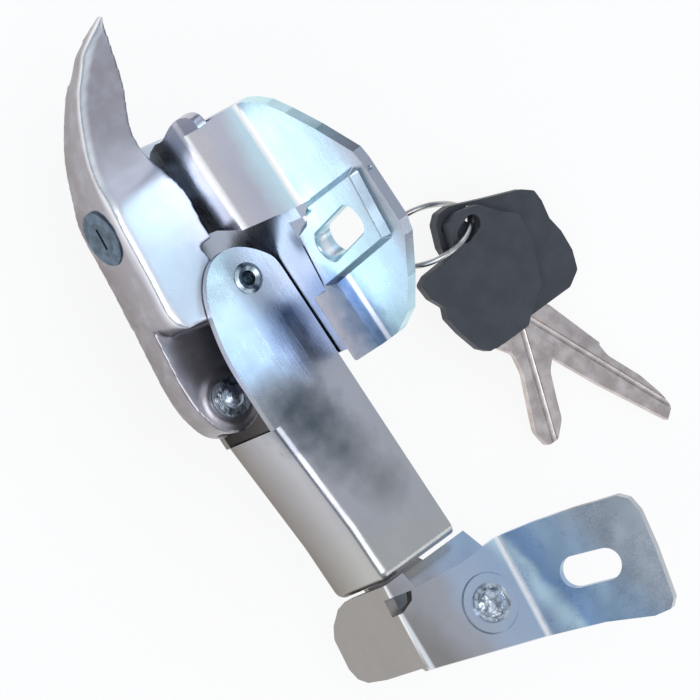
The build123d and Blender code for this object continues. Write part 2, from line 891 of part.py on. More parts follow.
with BuildPart() as key_1_blade:
    with BuildSketch(key_plane.offset(-blade_t / 2)):
        Polygon(
            (11.4, 47.4),
            (24.1, 47.4),
            (32.8, 29.5),
            (32.4, 28.9),
            (33.2, 25.2),
            (39.1, 15.3),
            (42.1, 8.0),
            (43.5, 3.0),
            (40.3, 0.2),
            (26.7, 19.7),
            (17.9, 33.6),
            align=None,
        )
    extrude(amount=blade_t)
key_1_blade.part.label = "key_1_blade"
export_step(key_1_blade.part, "parts/key_1_blade.step")

with BuildPart() as key_2_head:
    with BuildSketch(upper_key_plane.offset(-head_t / 2)):
        with BuildLine():
            FilletPolyline(
                (-9.9, 73.6),
                (-7.0, 75.0),
                (1.0, 75.4),
                (4.2, 76.2),
                (6.0, 83.4),
                (10.5, 84.6),
                (17.0, 83.0),
                (22.0, 78.0),
                (27.0, 74.0),
                (27.0, 66.0),
                (23.0, 53.9),
                (16.1, 48.9),
                (13.6, 46.6),
                (4.1, 46.6),
                (-0.6, 47.2),
                (-3.0, 49.4),
                (-5.8, 56.0),
                (-7.4, 61.6),
                (-6.4, 64.6),
                (-9.0, 68.8),
                radius=1.2,
                close=True,
            )
        make_face()
        with Locations((11.2, 78.9)):
            SlotOverall(8.6, 4.8, rotation=18, mode=Mode.SUBTRACT)
    extrude(amount=head_t)
key_2_head.part.label = "key_2_head"
export_step(key_2_head.part, "parts/key_2_head.step")

with BuildPart() as key_2_blade:
    with BuildSketch(upper_key_plane.offset(-blade_t / 2)):
        Polygon(
            (2.0, 46.6),
            (5.7, 42.3),
            (5.5, 36.6),
            (1.5, 24.5),
            (0.4, 20.9),
            (1.8, 15.6),
            (5.6, 15.3),
            (9.6, 19.5),
            (11.0, 24.7),
            (13.3, 32.4),
            (15.6, 34.9),
            (18.0, 37.2),
            (13.4, 46.6),
            align=None,
        )
    extrude(amount=blade_t)
key_2_blade.part.label = "key_2_blade"
export_step(key_2_blade.part, "parts/key_2_blade.step")
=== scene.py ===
import bmesh
import bpy
import numpy as np
from mathutils import Matrix, Vector


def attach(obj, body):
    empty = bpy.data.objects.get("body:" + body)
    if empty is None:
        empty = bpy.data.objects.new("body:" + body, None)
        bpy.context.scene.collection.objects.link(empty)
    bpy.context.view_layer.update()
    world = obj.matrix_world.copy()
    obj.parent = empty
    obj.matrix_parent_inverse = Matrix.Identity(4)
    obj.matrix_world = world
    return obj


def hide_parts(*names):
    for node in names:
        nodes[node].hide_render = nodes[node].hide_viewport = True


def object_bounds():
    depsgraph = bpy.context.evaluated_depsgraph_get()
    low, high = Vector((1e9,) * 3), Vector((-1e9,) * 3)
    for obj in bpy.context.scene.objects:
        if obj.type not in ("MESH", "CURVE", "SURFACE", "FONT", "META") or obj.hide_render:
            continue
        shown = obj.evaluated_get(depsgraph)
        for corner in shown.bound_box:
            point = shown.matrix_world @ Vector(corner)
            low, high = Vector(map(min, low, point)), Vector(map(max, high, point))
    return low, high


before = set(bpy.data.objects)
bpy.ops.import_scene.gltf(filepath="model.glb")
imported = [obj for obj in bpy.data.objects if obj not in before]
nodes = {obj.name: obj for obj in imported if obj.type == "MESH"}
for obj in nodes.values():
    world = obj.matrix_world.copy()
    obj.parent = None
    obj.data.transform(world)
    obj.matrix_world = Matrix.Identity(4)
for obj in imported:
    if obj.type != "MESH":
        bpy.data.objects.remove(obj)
cad_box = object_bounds()
MM = 0.001

# Camera: it stands far off in parallel projection and looks down on the latch from the lever's
# side, square to no face of it, so the wing, the arm's front flange and the keeper's ear all show.
to_right = Vector((0.717, -0.546, 0.432))
to_top = Vector((0.525, 0.832, 0.181))
to_back = to_right.cross(to_top).normalized()
link_axis = Vector((-0.013, 0.0, 0.051))
shift_right, shift_down = 0.02757, 0.01946
frame_width = 0.18919
stand_off = 0.8
aim = link_axis + to_right * shift_right - to_top * shift_down
camera = bpy.data.objects.new("camera", bpy.data.cameras.new("camera"))
camera.data.type = "ORTHO"
camera.data.ortho_scale = frame_width
camera.data.clip_end = 5.0
look = Matrix((to_right.normalized(), to_top.normalized(), to_back)).transposed()
camera.matrix_world = Matrix.Translation(aim + to_back * stand_off) @ look.to_4x4()
bpy.context.scene.collection.objects.link(camera)
bpy.context.scene.camera = camera


# Studio: a pale floor that keeps a soft shadow, a sky that shades from pale overhead to slate at
# the horizon so that plated faces part from each other, and soft lamps that draw the bends.
def colour(hexa):
    """sRGB hex to linear RGBA: c / 12.92 up to 0.04045, else ((c + 0.055) / 1.055) to the power 2.4."""
    c = np.array([int(hexa[i:i + 2], 16) for i in (1, 3, 5)]) / 255
    linear = np.where(c <= 0.04045, c / 12.92, ((c + 0.055) / 1.055) ** 2.4)
    return (*linear.tolist(), 1.0)


def add(tree, kind, links=(), second=None, **settings):
    """One node. Settings are its own properties or its sockets' values, second is the value of its
    second socket, and links are pairs of a socket and the output that feeds it."""
    node = tree.nodes.new(kind)
    for key, value in settings.items():
        if hasattr(node, key):
            setattr(node, key, value)
        else:
            node.inputs[key.replace("_", " ")].default_value = value
    if second is not None:
        node.inputs[1].default_value = second
    for socket, output in links:
        tree.links.new(output, node.inputs[socket])
    return node


def ramp(tree, factor, stops):
    """A smooth colour ramp through stops, each a place from 0 to 1 and an sRGB hex colour."""
    node = add(tree, "ShaderNodeValToRGB", [("Fac", factor)])
    node.color_ramp.interpolation = "EASE"
    dots = node.color_ramp.elements
    while len(dots) < len(stops):
        dots.new(0.5)
    for dot, (place, hexa) in zip(dots, stops):
        dot.position = place
        dot.color = colour(hexa)
    return node.outputs["Color"]


def span(tree, value, low, high, to_low=0.0, to_high=1.0, curve="LINEAR"):
    """A value carried in proportion from low..high to to_low..to_high, and held at both ends."""
    node = add(tree, "ShaderNodeMapRange", [("Value", value)], interpolation_type=curve)
    for socket, number in zip(("From Min", "From Max", "To Min", "To Max"), (low, high, to_low, to_high)):
        node.inputs[socket].default_value = number
    return node.outputs[0]


def place_mesh(name, mesh):
    """A new object at the origin that carries the mesh."""
    piece = bpy.data.objects.new(name, mesh)
    bpy.context.scene.collection.objects.link(piece)
    return piece


def clear_finish(name):
    """An empty material and its node tree."""
    material = bpy.data.materials.new(name)
    material.use_nodes = True
    material.node_tree.nodes.clear()
    return material, material.node_tree


# White paper, matt: the fibre only breaks up its grey a little. What the camera or a mirror sees
# of it is mostly its own even glow, so it stays white and still takes the latch's soft shadow.
floor_half = 0.62
glow_share = 0.88
fibre_cycles = 900.0
floor_z = cad_box[0][2]
floor_mesh = bpy.data.meshes.new("floor")
floor_corners = [(x * floor_half, y * floor_half, floor_z) for x, y in ((-1, -1), (1, -1), (1, 1), (-1, 1))]
floor_mesh.from_pydata(floor_corners, [], [(0, 1, 2, 3)])
floor = place_mesh("floor", floor_mesh)
paper, sheet = clear_finish("white_paper")
ray = add(sheet, "ShaderNodeLightPath")
seen = add(sheet, "ShaderNodeMath", [(0, ray.outputs["Is Camera Ray"]), (1, ray.outputs["Is Glossy Ray"])],
           operation="MAXIMUM")
seen = add(sheet, "ShaderNodeMath", [(0, seen.outputs[0]), (1, ray.outputs["Is Transmission Ray"])],
           operation="MAXIMUM")
share = add(sheet, "ShaderNodeMath", [(0, seen.outputs[0])], second=glow_share, operation="MULTIPLY")
fibre = add(sheet, "ShaderNodeTexNoise", Scale=fibre_cycles, Detail=3.0)
fibre_grey = ramp(sheet, fibre.outputs[0], [(0.3, "#F6F6F7"), (0.7, "#FFFFFF")])
matt = add(sheet, "ShaderNodeBsdfDiffuse", [("Color", fibre_grey)])
glow = add(sheet, "ShaderNodeEmission", Strength=1.0)
both = add(sheet, "ShaderNodeMixShader", [(0, share.outputs[0]), (1, matt.outputs[0]), (2, glow.outputs[0])])
add(sheet, "ShaderNodeOutputMaterial", [("Surface", both.outputs[0])])
floor_mesh.materials.append(paper)

studio = bpy.data.worlds.new("studio")
studio.use_nodes = True
bpy.context.scene.world = studio
walls = studio.node_tree
walls.nodes.clear()
way = add(walls, "ShaderNodeTexCoord")
part = add(walls, "ShaderNodeSeparateXYZ", [("Vector", way.outputs["Generated"])])
height = span(walls, part.outputs["Z"], -1.0, 1.0)
sky = ramp(walls, height, [(0.0, "#A9AAAE"), (0.42, "#9C9DA4"), (0.50, "#80868F"), (0.62, "#8C98A8"),
                           (0.76, "#B4C0CE"), (0.90, "#CDD3DC"), (1.0, "#DDE2EA")])
light = add(walls, "ShaderNodeBackground", [("Color", sky)], Strength=1.0)
add(walls, "ShaderNodeOutputWorld", [("Surface", light.outputs[0])])

latch_middle = Vector((-0.01, 0.0, 0.04))


def softbox(name, toward, distance, size, watts, tint):
    """A rectangular lamp that stands off from the latch in one direction and faces it."""
    data = bpy.data.lights.new(name, "AREA")
    data.shape = "RECTANGLE"
    data.size, data.size_y = size
    data.energy = watts
    data.color = colour(tint)[:3]
    box = bpy.data.objects.new(name, data)
    way_out = Vector(toward).normalized()
    facing = way_out.to_track_quat("Z", "Y").to_matrix().to_4x4()
    box.matrix_world = Matrix.Translation(latch_middle + way_out * distance) @ facing
    bpy.context.scene.collection.objects.link(box)


softbox("softbox_bend", (-0.50, -0.10, 0.86), distance=0.9, size=(0.38, 0.9), watts=2.9, tint="#FBFCFF")
softbox("softbox_fill", (0.75, 0.55, 0.55), distance=1.1, size=(0.8, 0.8), watts=1.0, tint="#F4F8FF")
softbox("softbox_keys", (0.25, -0.95, 0.50), distance=1.1, size=(0.6, 0.6), watts=1.5, tint="#FFFAF4")


# Base bracket and the pivot bracket inside it: pressed and folded steel, 3 mm outside and 2 mm
# inside, barrel-plated in bright zinc with a clear blue passivate. The plate keeps a drawn grain
# along the roll and soft waves from the press. Its colour drifts from cyan-white to periwinkle by
# place, and these light and dark bands are in part painted reflection and shade.
def begin(name):
    """A new finish: its material, node tree, Principled shader and Object coordinates."""
    material, t = clear_finish(name)
    shader = add(t, "ShaderNodeBsdfPrincipled")
    add(t, "ShaderNodeOutputMaterial", [("Surface", shader.outputs[0])])
    place = add(t, "ShaderNodeTexCoord").outputs["Object"]
    return material, t, shader, place


def noise(t, place, size_mm, detail=2.0, stretch=(1, 1, 1)):
    """Noise whose blobs are about size_mm across, drawn out where stretch is under 1."""
    scale = 1.0 / (size_mm * MM)
    spread = add(t, "ShaderNodeMapping", [("Vector", place)])
    spread.inputs["Scale"].default_value = [scale * s for s in stretch]
    return add(t, "ShaderNodeTexNoise", [("Vector", spread.outputs[0])], Scale=1.0, Detail=detail,
               Roughness=0.5).outputs[0]


def sum_of(t, a, b, weight):
    """The first value plus weight times the second."""
    return add(t, "ShaderNodeMath", [(0, b), (2, a)], second=weight, operation="MULTIPLY_ADD").outputs[0]


def centred(t, value):
    """A noise value less a half, so that it swings about zero."""
    return add(t, "ShaderNodeMath", [(0, value)], second=0.5, operation="SUBTRACT").outputs[0]


def from_point(t, place, point):
    """The way from point (mm) to where the surface is."""
    metres = (np.array(point, float) * MM).tolist()
    return add(t, "ShaderNodeVectorMath", [(0, place)], second=metres, operation="SUBTRACT").outputs[0]


def along(t, place, start, end):
    """0 at start and 1 at end (both in mm): the way from start, dotted with the whole run and
    divided by the run's length squared."""
    run = (np.array(end, float) - np.array(start, float)) * MM
    unit = (run / np.dot(run, run)).tolist()
    off = from_point(t, place, start)
    return add(t, "ShaderNodeVectorMath", [(0, off)], second=unit, operation="DOT_PRODUCT").outputs["Value"]


def near_line(t, place, point, heading, width):
    """1 on the line through point (mm) along heading, falling smoothly to 0 at width (mm) from it.

    The distance is the length of the way from point crossed with the line's unit heading."""
    unit = (np.array(heading, float) / np.linalg.norm(heading)).tolist()
    off = from_point(t, place, point)
    cross = add(t, "ShaderNodeVectorMath", [(0, off)], second=unit, operation="CROSS_PRODUCT")
    far = add(t, "ShaderNodeVectorMath", [(0, cross.outputs[0])], operation="LENGTH").outputs["Value"]
    core = 0.25
    return span(t, far, core * width * MM, width * MM, 1.0, 0.0, curve="SMOOTHSTEP")


def blend_to(t, base, factor, hexa):
    """The base colour drawn toward a second colour by a factor."""
    factor_socket, base_socket, second_socket, result = 0, 6, 7, 2
    node = add(t, "ShaderNodeMix", data_type="RGBA")
    t.links.new(factor, node.inputs[factor_socket])
    t.links.new(base, node.inputs[base_socket])
    node.inputs[second_socket].default_value = colour(hexa)
    return node.outputs[result]


def zinc(name, stops, start, end, drift=0.35, grain=(1, 0.02, 1), bend_highlights=(), painted_patches=(), drawn_by=0.12,
         floor_shade=None):
    """Bright zinc plate, which mirrors its surroundings softly.

    Its tint runs through stops from start to end (mm) plus drift times a centred cloud; the stops are in
    part painted reflection and shade. Each painted patch is a point, a radius (mm) and a colour with a
    ragged rim, painted reflection and shade; each bend highlight is a point, a heading and a width (mm)
    of painted white highlight line. Floor shade is the painted shade colour that the plate turns to
    toward the floor."""
    material, t, shader, place = begin(name)
    cloud = noise(t, place, size_mm=17, detail=3)
    tint = ramp(t, sum_of(t, along(t, place, start, end), centred(t, cloud), drift), stops)
    ragged_share = 0.6
    painted_strength = 0.95
    # Painted patches of reflection and shade, each with a ragged rim.
    for point, radius, hexa in painted_patches:
        centre = (np.array(point, float) * MM).tolist()
        far = add(t, "ShaderNodeVectorMath", [(0, place)], second=centre, operation="DISTANCE")
        rim = centred(t, noise(t, place, size_mm=4, detail=5))
        ragged = sum_of(t, far.outputs["Value"], rim, radius * MM * ragged_share)
        tint = blend_to(t, tint, span(t, ragged, 0.0, radius * MM, painted_strength, 0.0), hexa)
    # Painted shade: the plate darkens toward the floor.
    if floor_shade:
        front_edge, deep_edge = (0, 0, 47), (0, 0, 22)
        deep = along(t, place, front_edge, deep_edge)
        tint = blend_to(t, tint, span(t, deep, 0.1, 1.0, 0.0, painted_strength), floor_shade)
    # Painted white highlight lines along the bends.
    for point, heading, width in bend_highlights:
        tint = blend_to(t, tint, near_line(t, place, point, heading, width), "#FDFEFF")
    t.links.new(tint, shader.inputs["Base Color"])
    shader.inputs["Metallic"].default_value = 1.0
    lines = noise(t, place, size_mm=0.55, detail=2, stretch=grain)
    mottle = sum_of(t, sum_of(t, cloud, lines, 0.55), noise(t, place, size_mm=3.2, detail=4), 0.45)
    t.links.new(span(t, mottle, 0.6, 1.4, 0.20, 0.36), shader.inputs["Roughness"])
    press = add(t, "ShaderNodeBump", [("Height", noise(t, place, size_mm=13, detail=1))], Strength=0.10,
                Distance=4 * MM)
    drawn = add(t, "ShaderNodeBump", [("Height", lines), ("Normal", press.outputs[0])], Strength=drawn_by,
                Distance=0.00012)
    t.links.new(drawn.outputs[0], shader.inputs["Normal"])
    return material


def wear(node, material):
    """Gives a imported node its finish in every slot."""
    for slot in nodes[node].material_slots:
        slot.material = material


def apply_all(piece):
    """Turns what the piece's modifiers make into its mesh."""
    bpy.context.view_layer.update()
    done = bpy.data.meshes.new_from_object(piece.evaluated_get(bpy.context.evaluated_depsgraph_get()))
    piece.modifiers.clear()
    piece.data = done


def eased(node, width, corner=0.0, thick=4.2, segments=2):
    """A copy of a node with its doubles merged, its flats joined and its sheared edges rolled by
    width (mm).

    Outline corners are first rounded by corner (mm), or by 0.45 of the shorter side next to them
    where that is less. They are the edges that run through the plate, from shortest to thick (mm)
    long, and turn by least_turn to most_turn (radians). One with under least_room stays sharp."""
    weld, flat = 2e-6, 0.012
    shortest, side_share, least_room = 0.5, 0.45, 1.4
    least_turn, most_turn = 0.1, 1.4
    mesh = nodes[node].data.copy()
    bm = bmesh.new()
    bm.from_mesh(mesh)
    bmesh.ops.remove_doubles(bm, verts=bm.verts, dist=weld)
    bmesh.ops.dissolve_limit(bm, angle_limit=flat, verts=bm.verts, edges=bm.edges)
    weight = bm.edges.layers.float.new("bevel_weight_edge")
    for edge in bm.edges:
        if not corner or len(edge.link_faces) != 2:
            continue
        tall = edge.calc_length()
        if least_turn < edge.calc_face_angle() < most_turn and shortest * MM < tall < thick * MM:
            room = side_share * min(face.calc_area() / tall for face in edge.link_faces)
            if room > least_room * MM:
                edge[weight] = min(1.0, room / (corner * MM))
    for face in bm.faces:
        face.smooth = True
    bm.to_mesh(mesh)
    bm.free()
    piece = place_mesh(node + "_eased", mesh)
    if corner:
        round_off = piece.modifiers.new("round_corners", "BEVEL")
        round_off.limit_method = "WEIGHT"
        round_off.width = corner * MM
        round_off.segments = 6
        round_off.use_clamp_overlap = False
    roll = piece.modifiers.new("rolled_edges", "BEVEL")
    roll.limit_method = "ANGLE"
    roll.angle_limit = 0.6
    roll.width = width * MM
    roll.segments = segments
    apply_all(piece)
    piece.data.set_sharp_from_angle(angle=0.45)
    keep = piece.modifiers.new("even_flats", "WEIGHTED_NORMAL")
    keep.keep_sharp = True
    return piece


def seat(piece, node, body, material):
    """The piece stands for a node, rides on its body and takes one finish."""
    piece.data.materials.clear()
    piece.data.materials.append(material)
    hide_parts(node)
    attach(piece, body)


# Each bend highlight is its point, heading and width, a painted white line; each painted patch its
# point, radius and colour (mm).
crown_bend_highlight = ((-10.9, 0, 60.6), (0, 1, 0), 2.4)
wing_bend_highlight = ((-3.1, 0, 81.6), (0, 1, 0), 2.2)
# Painted shade and dark reflection on the wing's slope.
wing_shade_and_reflection = [((-3, -12, 77), 8, "#7C97BC"), ((-3, -20, 77), 13, "#56779F"),
               ((-3, -31, 77), 14, "#466890"), ((-3, 16, 72), 4, "#9FA6CC")]
base_zinc = zinc("blue_zinc_base",
                 [(0.0, "#B9C6DC"), (0.40, "#D2DDEC"), (0.49, "#C2C1C8"), (0.57, "#B9BCCB"),
                  (0.64, "#C6E2F0"), (0.70, "#CDEFF4"), (0.88, "#C6E4F2"), (1.0, "#ADB3BF")],
                 start=(0, 0, 0), end=(0, 0, 125), drift=0.08, bend_highlights=[crown_bend_highlight, wing_bend_highlight],
                 painted_patches=wing_shade_and_reflection)
seat(eased("base_bracket", width=0.25, corner=5.0), "base_bracket", "base", base_zinc)
# The pivot bracket's tint is dark at its deep end and pale toward the front: painted shade.
pivot_zinc = zinc("blue_zinc_pivot", [(0.0, "#7C8490"), (0.5, "#A9B2C4"), (1.0, "#C5D2E4")],
                  start=(0, -30, 20), end=(-20, 40, 50))
wear("pivot_bracket", pivot_zinc)


# Claw lever: die cast in zinc alloy with soft rolled edges, tumbled and then plated satin. The broad
# front face is lilac-grey and almost plain; toward the back the tint turns brown-grey, a painted shade.
# The imported lever has a paper-thin flap at the claw's tip, which is cut off along trim_line (mm).
trim_line = np.array([(-8.4, 76.22), (-0.4, 79.70)])
trim_run = trim_line[1] - trim_line[0]
trim_out = Vector((-trim_run[1], trim_run[0], 0)).normalized()
weld, on_plane = 2e-6, 1e-7
rough_cast = nodes["lever_handle"].data.copy()
bm = bmesh.new()
bm.from_mesh(rough_cast)
bmesh.ops.remove_doubles(bm, verts=bm.verts, dist=weld)
bmesh.ops.bisect_plane(bm, geom=bm.verts[:] + bm.edges[:] + bm.faces[:], dist=on_plane,
                       plane_co=Vector((*trim_line[0], 0)) * MM, plane_no=trim_out, clear_outer=True)
bmesh.ops.holes_fill(bm, edges=[edge for edge in bm.edges if edge.is_boundary])
bmesh.ops.triangulate(bm, faces=bm.faces)
bm.to_mesh(rough_cast)
bm.free()
lever = place_mesh("lever_casting", rough_cast)
skin_grain = 0.5
skin = lever.modifiers.new("cast_skin", "REMESH")
skin.mode = "VOXEL"
skin.voxel_size = skin_grain * MM
skin.use_smooth_shade = True
apply_all(lever)

# The ridge between the spine and the front face, from the lock up to the tip, as points in mm. The
# gap from a point of the skin to it is the least of its distances to the ridge's straight runs.
ridge = np.array([(-37.6, 2, 48), (-37.4, 10, 48), (-36, 24, 48), (-34.6, 36, 47.6), (-33.4, 41.5, 46),
                  (-31.2, 48.5, 44.5), (-27.7, 55.6, 43.4), (-22.9, 62.9, 42), (-18.3, 68.3, 41.1),
                  (-9.5, 75.4, 39.8), (0.4, 80.3, 38.2)]) * MM
verts = np.empty(len(lever.data.vertices) * 3)
lever.data.vertices.foreach_get("co", verts)
verts = verts.reshape(-1, 3)
starts, runs = ridge[:-1], np.diff(ridge, axis=0)
run_share = np.einsum("vsk,sk->vs", verts[:, None] - starts, runs) / (runs ** 2).sum(1)
run_share = np.clip(run_share, 0, 1)
gap = np.linalg.norm(verts[:, None] - starts - run_share[..., None] * runs, axis=2).min(1)
full_roll, roll_fade = 1.2, 4
rolled = lever.vertex_groups.new(name="ridge")
for level in (0.25, 0.5, 0.75, 1.0):
    inside = np.nonzero(gap < (1 - level) * roll_fade * MM + full_roll * MM)[0]
    rolled.add(inside.tolist(), level, "REPLACE")
tip_bend, tip_reach = np.array([-12.6, 73.4]), 6.5
at_tip = np.hypot(*(verts[:, :2] - tip_bend * MM).T) < tip_reach * MM
rolled.add(np.nonzero(at_tip)[0].tolist(), 1.0, "REPLACE")
# Painted highlight: a point attribute that is 1 along the ridge and fades out with the gap, turned white in
# the finish.
glint_peak, glint_width = 1.25, 1.9
glint_layer = lever.data.attributes.new("ridge_highlight", "FLOAT", "POINT")
glint_layer.data.foreach_set("value", np.clip(glint_peak - gap / (glint_width * MM), 0, 1))
soft = lever.modifiers.new("tumbled_edges", "SMOOTH")
soft.factor = 0.5
soft.iterations = 10
round_ridge = lever.modifiers.new("rolled_ridge", "SMOOTH")
round_ridge.factor = 0.5
round_ridge.iterations = 70
round_ridge.vertex_group = "ridge"
fewer = lever.modifiers.new("fewer_faces", "DECIMATE")
fewer.ratio = 0.45


def satin_cast(name, stops, start, end, drift):
    """Satin-plated zinc casting: a cloudy metallic tint from start to end (mm), in part painted shade, a
    blasted grain that blurs what it mirrors, and a painted white highlight along the ridge."""
    material, t, shader, place = begin(name)
    cloud = noise(t, place, size_mm=14, detail=3)
    tint = ramp(t, sum_of(t, along(t, place, start, end), centred(t, cloud), drift), stops)
    blotch = span(t, noise(t, place, size_mm=5, detail=5), 0.45, 0.80, 0.0, 0.35)
    tint = blend_to(t, tint, blotch, "#D4D8E2")
    # The ridge's painted white highlight.
    ridge_glint = add(t, "ShaderNodeAttribute", attribute_name="ridge_highlight").outputs["Fac"]
    t.links.new(blend_to(t, tint, ridge_glint, "#FDFEFF"), shader.inputs["Base Color"])
    shader.inputs["Metallic"].default_value = 1.0
    grain = noise(t, place, size_mm=0.45, detail=3)
    t.links.new(span(t, sum_of(t, cloud, grain, 0.6), 0.5, 1.1, 0.27, 0.40), shader.inputs["Roughness"])
    lumps = add(t, "ShaderNodeBump", [("Height", noise(t, place, size_mm=9, detail=1))], Strength=0.08,
                Distance=3 * MM)
    blasted = add(t, "ShaderNodeBump", [("Height", grain), ("Normal", lumps.outputs[0])], Strength=0.2,
                  Distance=0.00010)
    t.links.new(blasted.outputs[0], shader.inputs["Normal"])
    return material


# Darker toward the back and lighter at the front: painted shade.
lever_satin = satin_cast("satin_zinc_casting",
                         [(0.0, "#918A8B"), (0.70, "#A8A4AA"), (0.86, "#D2D2DB"), (1.0, "#DDDFE9")],
                         start=(0, 0, 25), end=(0, 0, 50), drift=0.12)
seat(lever, "lever_handle", "lever", lever_satin)


# Cam lock: a zinc die-cast barrel with a grey passivated face, set in the lever and held by a nut.
# The plug turns in it and carries the keyway, the cam and the cam's screw.
def grey_cast(name, hexa, darker, rough):
    """Grey passivated die casting: a dull, half metallic grey with a fine mottle and grain."""
    material, t, shader, place = begin(name)
    mottle = noise(t, place, size_mm=2.4, detail=4)
    t.links.new(ramp(t, mottle, [(0.3, darker), (0.7, hexa)]), shader.inputs["Base Color"])
    shader.inputs["Metallic"].default_value = 0.75
    grain = noise(t, place, size_mm=0.3, detail=2)
    t.links.new(span(t, grain, 0.3, 0.7, rough - 0.06, rough + 0.08), shader.inputs["Roughness"])
    tiny = add(t, "ShaderNodeBump", [("Height", grain)], Strength=0.2, Distance=0.00008)
    t.links.new(tiny.outputs[0], shader.inputs["Normal"])
    return material


wear("lock_body", grey_cast("lock_passivate", "#6E8192", "#4F6070", rough=0.42))
wear("lock_plug", grey_cast("plug_passivate", "#627686", "#485866", rough=0.38))


# Pins, rivets, nut, cam and washers: turned or cold-headed steel, plated with the brackets. Their
# ends show the lathe's rings or the blows of the riveting tool.
def turned(name, centre, hexa, dark, rings_mm, dents):
    """Turned steel: rings rings_mm apart about an axis parallel to Z through centre (mm), as the
    sine of two pi times the distance from it over rings_mm, and dents from the hammer."""
    material, t, shader, place = begin(name)
    off = from_point(t, place, (*centre, 0))
    level = add(t, "ShaderNodeVectorMath", [(0, off)], second=(1, 1, 0), operation="MULTIPLY")
    far = add(t, "ShaderNodeVectorMath", [(0, level.outputs[0])], operation="LENGTH").outputs["Value"]
    turns = add(t, "ShaderNodeMath", [(0, far)], second=2 * np.pi / (rings_mm * MM), operation="MULTIPLY")
    rings = add(t, "ShaderNodeMath", [(0, turns.outputs[0])], operation="SINE").outputs[0]
    cloud = noise(t, place, size_mm=2.2, detail=3)
    t.links.new(ramp(t, cloud, [(0.32, dark), (0.62, hexa)]), shader.inputs["Base Color"])
    shader.inputs["Metallic"].default_value = 1.0
    t.links.new(span(t, cloud, 0.3, 0.7, 0.22, 0.36), shader.inputs["Roughness"])
    lathe = add(t, "ShaderNodeBump", [("Height", rings)], Strength=0.25, Distance=0.00004)
    hammered = noise(t, place, size_mm=1.7, detail=1)
    blows = add(t, "ShaderNodeBump", [("Height", hammered), ("Normal", lathe.outputs[0])], Strength=dents,
                Distance=0.0008)
    t.links.new(blows.outputs[0], shader.inputs["Normal"])
    return material


lever_pivot = (-29.7, -25.0)
link_pivot = (-13.0, 0.0)
keeper_pivot = (-5.7, -110.2)
lock_back = (-13.0, 30.0)
pivot_steel = turned("pivot_pin_plate", lever_pivot, "#C9D2DC", "#8D97A3", rings_mm=0.5, dents=0.35)
link_steel = turned("link_pin_plate", link_pivot, "#C6D6DE", "#8C98A4", rings_mm=0.5, dents=0.1)
keeper_steel = turned("keeper_pin_plate", keeper_pivot, "#CBD3DB", "#8A929C", rings_mm=0.9, dents=0.7)
inner_steel = turned("inner_steel_plate", lock_back, "#AEB6BF", "#757D87", rings_mm=0.6, dents=0.1)
for steel, turned_nodes in ((pivot_steel, ("lever_pivot_pin",)),
                            (link_steel, ("link_pin", "link_spacer", "link_washer")),
                            (keeper_steel, ("keeper_pin", "keeper_spacer", "keeper_washer")),
                            (inner_steel, ("lock_nut", "lock_cam", "cam_screw", "hook_rivets"))):
    for node in turned_nodes:
        wear(node, steel)


# Draw arm and hook plate: 2.5 mm steel folded to a channel, rounded where the link pin passes, with
# a 3 mm plate riveted on at its end for the keeper. Painted dark reflections darken the flange past the
# pin, and the plate turns brown-grey toward the floor, a painted shade.
# Painted reflections on the front flange: dark patches past the pin and a pale blue one near it.
flange_painted_reflections = [((-23, -35, 51), 14, "#59626C"), ((-20, -43, 51), 13, "#59636A"),
                 ((-17, -53, 51), 12, "#72787C"), ((-13, -66, 51), 10, "#8E9192"),
                 ((-9, -14, 51), 8, "#8BA0BC")]
# The arm's tint stops are in part painted reflection; the colour it turns to toward the floor is painted
# shade.
arm_zinc = zinc("blue_zinc_arm",
                [(0.0, "#D6E2E8"), (0.12, "#D2D9E0"), (0.26, "#BCC6DA"), (0.40, "#BBBDC4"), (0.7, "#B9B9BD"),
                 (0.88, "#BBBBB8"), (1.0, "#C3C4CC")],
                start=(-8, 8, 50), end=(-20, -100, 50), drift=0.10, grain=(1, 0.03, 1),
                painted_patches=flange_painted_reflections, floor_shade="#7F766E")
seat(eased("draw_arm", width=0.3, corner=1.5, thick=2.6), "draw_arm", "arm", arm_zinc)
seat(eased("hook_plate", width=0.2, corner=2.0), "hook_plate", "arm", arm_zinc)


# Keeper: 3 mm steel with one ear folded forward to the screw slot, and a tab folded back. It swings
# on the headed pin at the arm's end.
# The ear and tab bends carry painted white highlight lines, and the keeper's tint stops are in part painted
# reflection and shade.
ear_bend_highlight = ((7.0, -96.6, 51), (0.102, 0.995, 0), 1.5)
tab_bend_highlight = ((-30.7, -101.8, 50.8), (0.05, 1, 0), 1.3)
keeper_zinc = zinc("blue_zinc_keeper",
                   [(0.0, "#9C9894"), (0.2, "#B4B4B8"), (0.34, "#B6C4D6"), (0.50, "#AEC2D8"),
                    (0.60, "#CFE6F0"), (0.66, "#93B0D2"), (0.80, "#A9C0D4"), (1.0, "#BAC0C6")],
                   start=(-30, -108, 50), end=(18, -98, 80), drift=0.22, grain=(0.05, 0.6, 0.6),
                   drawn_by=0.04, bend_highlights=[ear_bend_highlight, tab_bend_highlight])
seat(eased("keeper_bracket", width=0.3), "keeper_bracket", "keeper", keeper_zinc)


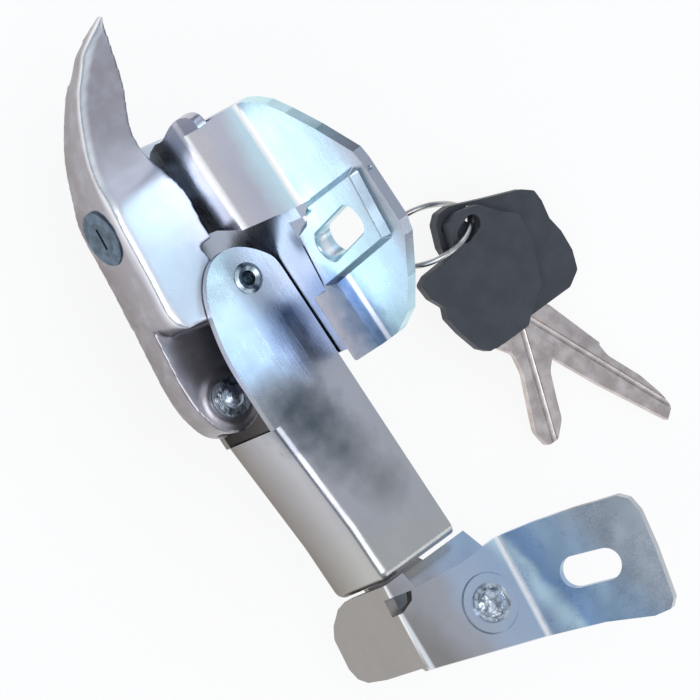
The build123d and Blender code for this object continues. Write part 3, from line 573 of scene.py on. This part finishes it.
# Key ring: 1.6 mm steel wire, bent round, closed and nickel-plated. It is bright and slightly
# warm, and runs through the holes in both keys' heads.
def nickel(name, hexa, dark, rough, drawn):
    """Nickel plate: warm pale metal with a soft mottle and fine lines, drawn out where drawn is
    under 1. Its roughness runs from rough up by 0.16."""
    material, t, shader, place = begin(name)
    cloud = noise(t, place, size_mm=4, detail=3)
    t.links.new(ramp(t, cloud, [(0.3, dark), (0.7, hexa)]), shader.inputs["Base Color"])
    shader.inputs["Metallic"].default_value = 1.0
    lines = noise(t, place, size_mm=0.3, detail=2, stretch=drawn)
    mottle = sum_of(t, cloud, lines, 0.6)
    t.links.new(span(t, mottle, 0.5, 1.1, rough, rough + 0.16), shader.inputs["Roughness"])
    scratch = add(t, "ShaderNodeBump", [("Height", lines)], Strength=0.15, Distance=0.00006)
    t.links.new(scratch.outputs[0], shader.inputs["Normal"])
    return material


wear("key_ring", nickel("ring_nickel", "#D6D5D2", "#A9A6A2", rough=0.16, drawn=(1, 1, 1)))


# Keys: stamped nickel-silver blades with one milled groove, moulded into black plastic heads that
# lie crossed on the ring.
def milled(node, body, material):
    """A blade with one round-bottomed groove down its length on the upper face.

    The cutter is a tube, a circle of radius cutter carried along the longest direction of the
    node's points, its centre so far above the face that it cuts bite deep. It overruns both ends."""
    bite, cutter, overrun = 0.55, 1.15, 2
    blank = eased(node, width=0.18, corner=1.0, thick=2.2)
    dots = np.array([v.co for v in nodes[node].data.vertices])
    middle = dots.mean(axis=0)
    axes = np.linalg.svd(dots - middle, full_matrices=False)[2]
    long_way = axes[0]
    face_way = axes[2] * np.sign(axes[2][2])
    across = np.cross(face_way, long_way)
    reach = (dots - middle) @ long_way
    top = ((dots - middle) @ face_way).max()
    angle = np.linspace(0, 2 * np.pi, 24, endpoint=False)
    circle = cutter * MM * (np.cos(angle)[:, None] * across + np.sin(angle)[:, None] * face_way)
    lift = middle + face_way * (top + (cutter - bite) * MM)
    ends = [lift + long_way * (reach.min() - overrun * MM), lift + long_way * (reach.max() + overrun * MM)]
    points = np.concatenate([circle + end for end in ends])
    count = len(angle)
    sides = [(i, (i + 1) % count, count + (i + 1) % count, count + i) for i in range(count)]
    caps = [tuple(range(count))[::-1], tuple(range(count, 2 * count))]
    tube = bpy.data.meshes.new(node + "_cutter")
    tube.from_pydata(points.tolist(), [], sides + caps)
    bm = bmesh.new()
    bm.from_mesh(tube)
    bmesh.ops.recalc_face_normals(bm, faces=bm.faces)
    bm.to_mesh(tube)
    bm.free()
    tool = place_mesh(node + "_cutter", tube)
    groove = blank.modifiers.new("groove", "BOOLEAN")
    groove.object = tool
    groove.operation = "DIFFERENCE"
    groove.solver = "EXACT"
    apply_all(blank)
    bpy.data.objects.remove(tool)
    seat(blank, node, body, material)


blade_nickel = nickel("blade_nickel_silver", "#DAD0CB", "#BDB1AC", rough=0.24, drawn=(1, 0.05, 1))
milled("key_1_blade", "key_1", blade_nickel)
milled("key_2_blade", "key_2", blade_nickel)


def moulded(name, hexa, dark):
    """Black moulded ABS: a spark-eroded skin, faint flow clouds and the shine of handling."""
    material, t, shader, place = begin(name)
    cloud = noise(t, place, size_mm=6, detail=3)
    t.links.new(ramp(t, cloud, [(0.3, dark), (0.7, hexa)]), shader.inputs["Base Color"])
    pits = noise(t, place, size_mm=0.35, detail=2)
    t.links.new(span(t, sum_of(t, cloud, pits, 0.5), 0.45, 1.05, 0.40, 0.58), shader.inputs["Roughness"])
    eroded = add(t, "ShaderNodeBump", [("Height", pits)], Strength=0.35, Distance=0.00008)
    t.links.new(eroded.outputs[0], shader.inputs["Normal"])
    return material


head_black = moulded("key_head_abs", "#40444B", "#373A40")
for head, body in (("key_1_head", "key_1"), ("key_2_head", "key_2")):
    seat(eased(head, width=0.5, corner=3.0, segments=3), head, body, head_black)

bpy.context.scene.view_settings.view_transform = "Standard"
